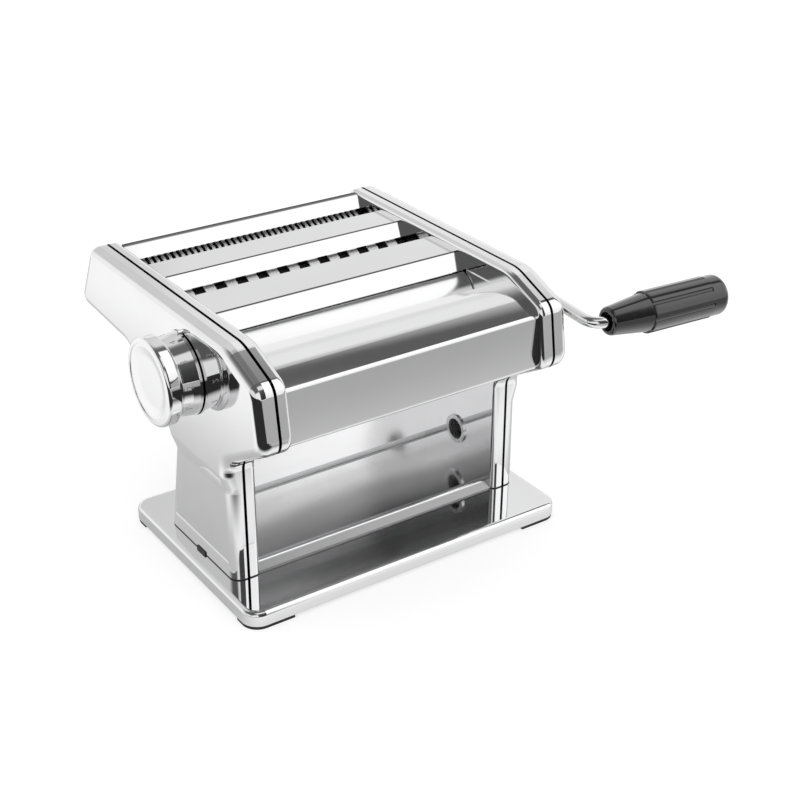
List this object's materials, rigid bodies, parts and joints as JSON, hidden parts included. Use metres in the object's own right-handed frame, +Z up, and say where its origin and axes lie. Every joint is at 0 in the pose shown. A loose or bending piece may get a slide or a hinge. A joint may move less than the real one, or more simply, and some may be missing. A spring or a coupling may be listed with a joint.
{
  "type": "pasta roller machine",
  "caption": "Hand-cranked pasta machine: polished side frames carry smooth rollers with a thickness knob, wide and fine cutter pairs, a dough chute and a clamp socket.",
  "frame": {"origin": "on the table, under the middle of the base plate", "axes": "+X towards the crank, +Y towards the cutters at the back, +Z up"},
  "size_m": [0.3139, 0.2154, 0.1473],
  "materials": {
    "polished_sheet": "mirror polished sheet steel",
    "roller_metal": "polished hard anodised",
    "machined_steel": "turned steel",
    "bright_steel": "bright plated",
    "blade_steel": "cold rolled",
    "bearing_plastic": "moulded, self-lubricating",
    "foot_rubber": "matt",
    "clip_plastic": "matt",
    "knob_chrome": "chromed",
    "knob_satin": "satin, spun",
    "grip_plastic": "gloss moulded",
    "cap_plastic": "gloss moulded"
  },
  "bodies": {
    "frame": {"base_plate": "polished_sheet", "rubber_feet": "foot_rubber", "left_side_frame": "polished_sheet", "right_side_frame": "polished_sheet", "left_cover": "polished_sheet", "right_cover": "polished_sheet", "cover_clips": "clip_plastic", "dough_chute": "polished_sheet", "front_cover": "polished_sheet", "front_bar": "polished_sheet", "rear_bar": "polished_sheet", "rear_wall": "polished_sheet", "roller_end_cheeks": "polished_sheet", "gear_bridge": "machined_steel", "gear_bridge_pillars": "machined_steel", "axle_bush": "bearing_plastic", "front_roller_bushes": "bearing_plastic", "cutter_bushes": "bearing_plastic", "drive_socket_rings": "bearing_plastic", "wide_front_comb": "blade_steel", "wide_rear_comb": "blade_steel", "fine_front_comb": "blade_steel", "fine_rear_comb": "blade_steel", "front_scraper": "blade_steel", "rear_scraper": "blade_steel", "tie_rods": "machined_steel", "tie_rod_screws": "bright_steel", "base_screws": "bright_steel", "clamp_socket": "bright_steel", "knob_index": "bright_steel"},
    "front_roller": {"front_roller": "roller_metal", "front_roller_shaft": "machined_steel", "front_roller_gear": "machined_steel"},
    "eccentric_axle": {"eccentric_axle": "machined_steel", "knob_screw": "bright_steel", "knob_spring": "bright_steel"},
    "knob": {"thickness_knob": "knob_chrome", "knob_face": "knob_satin"},
    "floating_bushes": {"rear_roller_bushes": "bearing_plastic"},
    "rear_roller": {"rear_roller": "roller_metal", "rear_roller_gear": "machined_steel"},
    "wide_cutter_front": {"wide_cutter_front": "roller_metal", "wide_front_gear": "machined_steel"},
    "wide_cutter_rear": {"wide_cutter_rear": "roller_metal", "wide_rear_gear": "machined_steel"},
    "fine_cutter_front": {"fine_cutter_front": "roller_metal", "fine_front_gear": "machined_steel"},
    "fine_cutter_rear": {"fine_cutter_rear": "roller_metal", "fine_rear_gear": "machined_steel"},
    "crank": {"crank_rod": "bright_steel"},
    "grip": {"crank_grip": "grip_plastic", "grip_cap": "cap_plastic"}
  },
  "joints": [
    {"name": "front_roller_spin", "type": "hinge", "parent": "frame", "child": "front_roller", "pos_m": [0, -0.0363, 0.1171], "axis": [1, 0, 0], "continuous": true},
    {"name": "thickness_turn", "type": "hinge", "parent": "frame", "child": "eccentric_axle", "pos_m": [0, 0.0019, 0.1163], "axis": [1, 0, 0], "range_deg": [-108, 72]},
    {"name": "bush_float", "type": "hinge", "parent": "eccentric_axle", "child": "floating_bushes", "pos_m": [0, 0.00141, 0.11782], "axis": [1, 0, 0], "range_deg": [-72, 108]},
    {"name": "rear_roller_spin", "type": "hinge", "parent": "floating_bushes", "child": "rear_roller", "pos_m": [0, 0.00141, 0.11782], "axis": [1, 0, 0], "continuous": true},
    {"name": "knob_pull", "type": "slide", "parent": "eccentric_axle", "child": "knob", "axis": [-1, 0, 0], "range_m": [0, 0.004], "stiffness_N_per_m": 900, "springref_m": -0.004, "deforming": ["knob_spring"]},
    {"name": "wide_cutter_spin", "type": "hinge", "parent": "frame", "child": "wide_cutter_front", "pos_m": [0, 0.034, 0.1243], "axis": [1, 0, 0], "continuous": true},
    {"name": "wide_cutter_rear_spin", "type": "hinge", "parent": "frame", "child": "wide_cutter_rear", "pos_m": [0, 0.056, 0.1243], "axis": [1, 0, 0], "continuous": true},
    {"name": "fine_cutter_spin", "type": "hinge", "parent": "frame", "child": "fine_cutter_front", "pos_m": [0, 0.0805, 0.1263], "axis": [1, 0, 0], "continuous": true},
    {"name": "fine_cutter_rear_spin", "type": "hinge", "parent": "frame", "child": "fine_cutter_rear", "pos_m": [0, 0.1025, 0.1263], "axis": [1, 0, 0], "continuous": true},
    {"name": "crank_pull", "type": "slide", "parent": "wide_cutter_front", "child": "crank", "axis": [1, 0, 0], "range_m": [0, 0.027]},
    {"name": "grip_spin", "type": "hinge", "parent": "crank", "child": "grip", "pos_m": [0.113, -0.07077, 0.11734], "axis": [0.9976, -0.0696, -0.0046], "continuous": true}
  ],
  "couplings": [
    {"joint": "bush_float", "follows": "thickness_turn", "ratio": -1},
    {"joint": "rear_roller_spin", "follows": "front_roller_spin", "ratio": -1},
    {"joint": "wide_cutter_rear_spin", "follows": "wide_cutter_spin", "ratio": -1},
    {"joint": "fine_cutter_rear_spin", "follows": "fine_cutter_spin", "ratio": -1}
  ]
}
